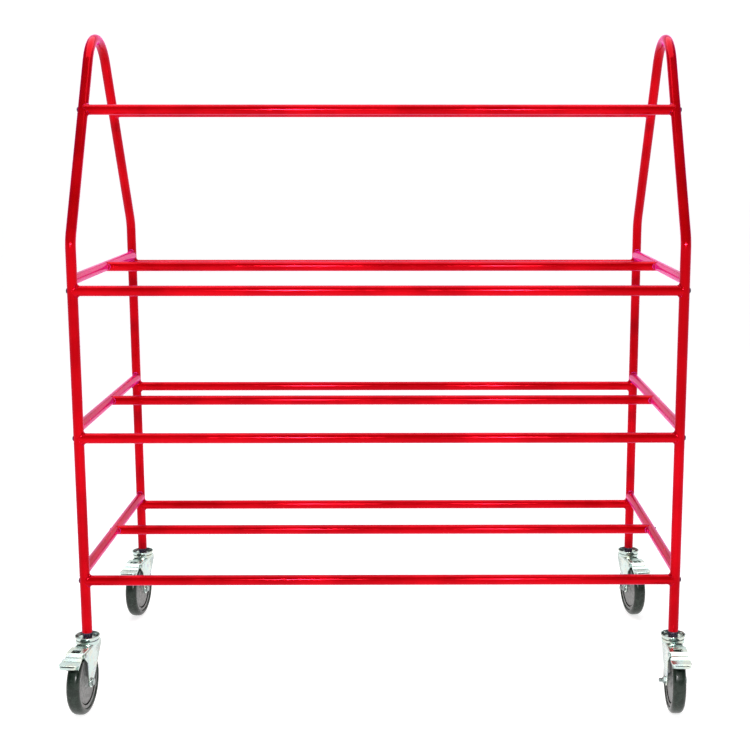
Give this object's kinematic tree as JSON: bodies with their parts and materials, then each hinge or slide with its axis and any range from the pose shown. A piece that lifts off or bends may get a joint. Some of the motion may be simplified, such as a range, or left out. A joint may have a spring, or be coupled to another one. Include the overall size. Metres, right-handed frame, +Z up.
{
  "type": "book cart",
  "caption": "Rolling book cart: a red tube frame with arched ends and pairs of long bars that carry book tubs by their rims, on braked swivel casters.",
  "frame": {"origin": "on the floor, midway between the four caster swivel axes", "axes": "+X along the bars to the right-hand end frame, -Y towards the front, which is the side the brake pedals face, +Z up"},
  "size_m": [1.2211, 0.7038, 1.311],
  "materials": {
    "frame_paint": "gloss red powder coat",
    "zinc": "bright zinc plate",
    "dark_steel": "dark oiled steel",
    "socket_plastic": "black moulded plastic",
    "core_plastic": "grey moulded plastic",
    "tyre": "dark grey non-marking rubber",
    "brake_rubber": "black moulded rubber"
  },
  "bodies": {
    "frame": {"end_frame_left": "frame_paint", "end_frame_right": "frame_paint", "cross_tube_left_lower": "frame_paint", "cross_tube_left_middle": "frame_paint", "cross_tube_left_upper": "frame_paint", "cross_tube_right_lower": "frame_paint", "cross_tube_right_middle": "frame_paint", "cross_tube_right_upper": "frame_paint", "front_bar_lower": "frame_paint", "front_bar_middle": "frame_paint", "front_bar_upper": "frame_paint", "front_bar_top": "frame_paint", "rear_bar_lower": "frame_paint", "rear_bar_middle": "frame_paint", "rear_bar_upper": "frame_paint", "rear_bar_top": "frame_paint", "centre_bar_lower": "frame_paint", "centre_bar_middle": "frame_paint", "centre_bar_upper": "frame_paint", "bar_plugs": "dark_steel", "bar_bolts_left": "dark_steel", "bar_bolts_right": "dark_steel", "stem_sockets": "socket_plastic", "caster_front_left_stem": "dark_steel", "caster_front_left_race_dish": "zinc", "caster_front_right_stem": "dark_steel", "caster_front_right_race_dish": "zinc", "caster_rear_left_stem": "dark_steel", "caster_rear_left_race_dish": "zinc", "caster_rear_right_stem": "dark_steel", "caster_rear_right_race_dish": "zinc"},
    "front_left_swivel": {"caster_front_left_swivel_bearing": "zinc", "caster_front_left_fork": "zinc", "caster_front_left_fasteners": "zinc"},
    "front_left_wheel": {"caster_front_left_wheel_core": "core_plastic", "caster_front_left_tyre": "tyre"},
    "front_left_pedal": {"caster_front_left_brake_pedal": "zinc", "caster_front_left_brake_block": "brake_rubber"},
    "front_right_swivel": {"caster_front_right_swivel_bearing": "zinc", "caster_front_right_fork": "zinc", "caster_front_right_fasteners": "zinc"},
    "front_right_wheel": {"caster_front_right_wheel_core": "core_plastic", "caster_front_right_tyre": "tyre"},
    "front_right_pedal": {"caster_front_right_brake_pedal": "zinc", "caster_front_right_brake_block": "brake_rubber"},
    "rear_left_swivel": {"caster_rear_left_swivel_bearing": "zinc", "caster_rear_left_fork": "zinc", "caster_rear_left_fasteners": "zinc"},
    "rear_left_wheel": {"caster_rear_left_wheel_core": "core_plastic", "caster_rear_left_tyre": "tyre"},
    "rear_left_pedal": {"caster_rear_left_brake_pedal": "zinc", "caster_rear_left_brake_block": "brake_rubber"},
    "rear_right_swivel": {"caster_rear_right_swivel_bearing": "zinc", "caster_rear_right_fork": "zinc", "caster_rear_right_fasteners": "zinc"},
    "rear_right_wheel": {"caster_rear_right_wheel_core": "core_plastic", "caster_rear_right_tyre": "tyre"},
    "rear_right_pedal": {"caster_rear_right_brake_pedal": "zinc", "caster_rear_right_brake_block": "brake_rubber"}
  },
  "joints": [
    {"name": "front_left_swivel_turn", "type": "hinge", "parent": "frame", "child": "front_left_swivel", "pos_m": [-0.575, -0.279, 0.13], "axis": [0, 0, 1], "continuous": true},
    {"name": "front_left_wheel_roll", "type": "hinge", "parent": "front_left_swivel", "child": "front_left_wheel", "pos_m": [-0.57876, -0.3148, 0.0635], "axis": [0.9945, -0.1045, 0], "continuous": true},
    {"name": "front_left_brake_tip", "type": "hinge", "parent": "front_left_swivel", "child": "front_left_pedal", "pos_m": [-0.58141, -0.33996, 0.125], "axis": [0.9945, -0.1045, 0], "range_deg": [0, 12]},
    {"name": "front_right_swivel_turn", "type": "hinge", "parent": "frame", "child": "front_right_swivel", "pos_m": [0.575, -0.279, 0.13], "axis": [0, 0, 1], "continuous": true},
    {"name": "front_right_wheel_roll", "type": "hinge", "parent": "front_right_swivel", "child": "front_right_wheel", "pos_m": [0.57406, -0.31499, 0.0635], "axis": [0.9997, -0.0262, 0], "continuous": true},
    {"name": "front_right_brake_tip", "type": "hinge", "parent": "front_right_swivel", "child": "front_right_pedal", "pos_m": [0.5734, -0.34028, 0.125], "axis": [0.9997, -0.0262, 0], "range_deg": [0, 12]},
    {"name": "rear_left_swivel_turn", "type": "hinge", "parent": "frame", "child": "rear_left_swivel", "pos_m": [-0.575, 0.279, 0.13], "axis": [0, 0, 1], "continuous": true},
    {"name": "rear_left_wheel_roll", "type": "hinge", "parent": "rear_left_swivel", "child": "rear_left_wheel", "pos_m": [-0.5797, 0.24331, 0.0635], "axis": [0.9914, -0.1305, 0], "continuous": true},
    {"name": "rear_left_brake_tip", "type": "hinge", "parent": "rear_left_swivel", "child": "rear_left_pedal", "pos_m": [-0.583, 0.21823, 0.125], "axis": [0.9914, -0.1305, 0], "range_deg": [0, 12]},
    {"name": "rear_right_swivel_turn", "type": "hinge", "parent": "frame", "child": "rear_right_swivel", "pos_m": [0.575, 0.279, 0.13], "axis": [0, 0, 1], "continuous": true},
    {"name": "rear_right_wheel_roll", "type": "hinge", "parent": "rear_right_swivel", "child": "rear_right_wheel", "pos_m": [0.58063, 0.24344, 0.0635], "axis": [0.9877, 0.1564, 0], "continuous": true},
    {"name": "rear_right_brake_tip", "type": "hinge", "parent": "rear_right_swivel", "child": "rear_right_pedal", "pos_m": [0.58459, 0.21846, 0.125], "axis": [0.9877, 0.1564, 0], "range_deg": [0, 12]}
  ]
}
